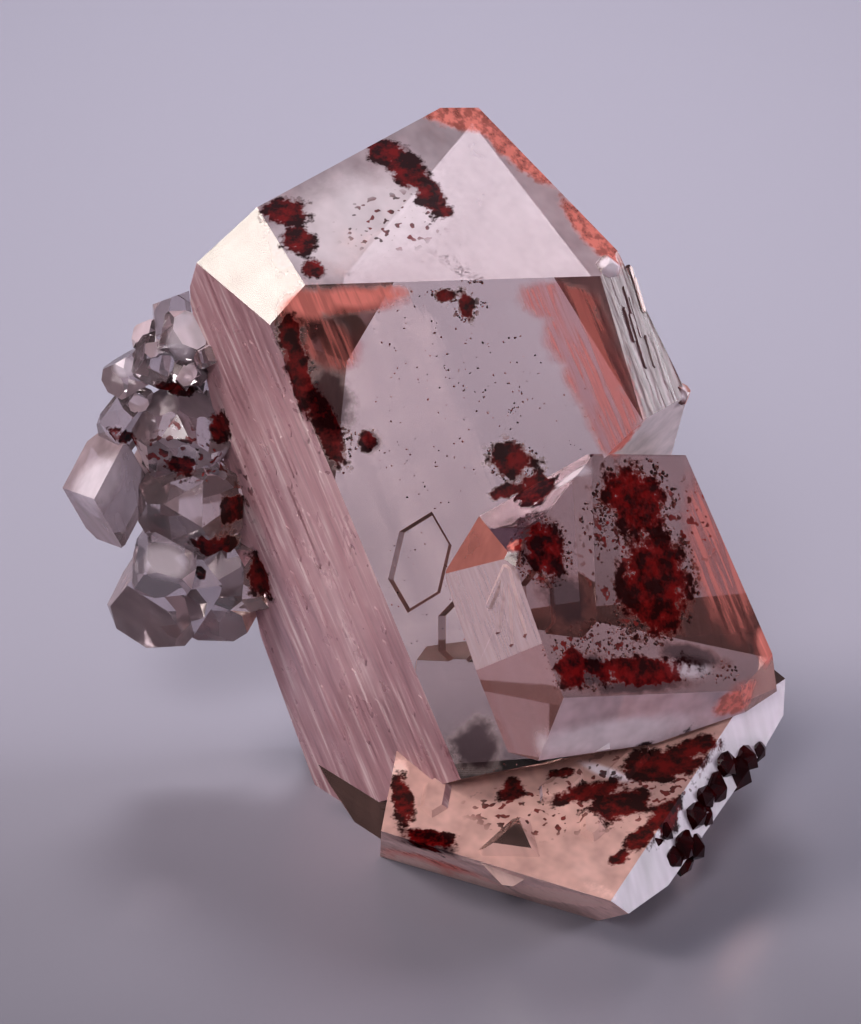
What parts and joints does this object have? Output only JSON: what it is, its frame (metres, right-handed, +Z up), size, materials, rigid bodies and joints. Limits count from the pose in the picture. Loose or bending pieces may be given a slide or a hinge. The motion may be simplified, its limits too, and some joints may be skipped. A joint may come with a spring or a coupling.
{
  "type": "dolomite crystal group",
  "caption": "Free-standing mineral specimen: large clear pinkish dolomite rhombs grown into each other, with a low crystal at the foot and small rhombs on the left flank.",
  "frame": {"origin": "middle of the bounding box at the level of the cut base the specimen rests on", "axes": "+Z up, front (the broad clear face of the large crystal) towards -Y, small rhomb cluster towards -X"},
  "size_m": [0.0414, 0.0352, 0.0376],
  "materials": {
    "dolomite": "clear pinkish natural crystal faces, some frosted"
  },
  "bodies": {
    "root": {"dolomite_crystals": "dolomite"}
  },
  "joints": []
}
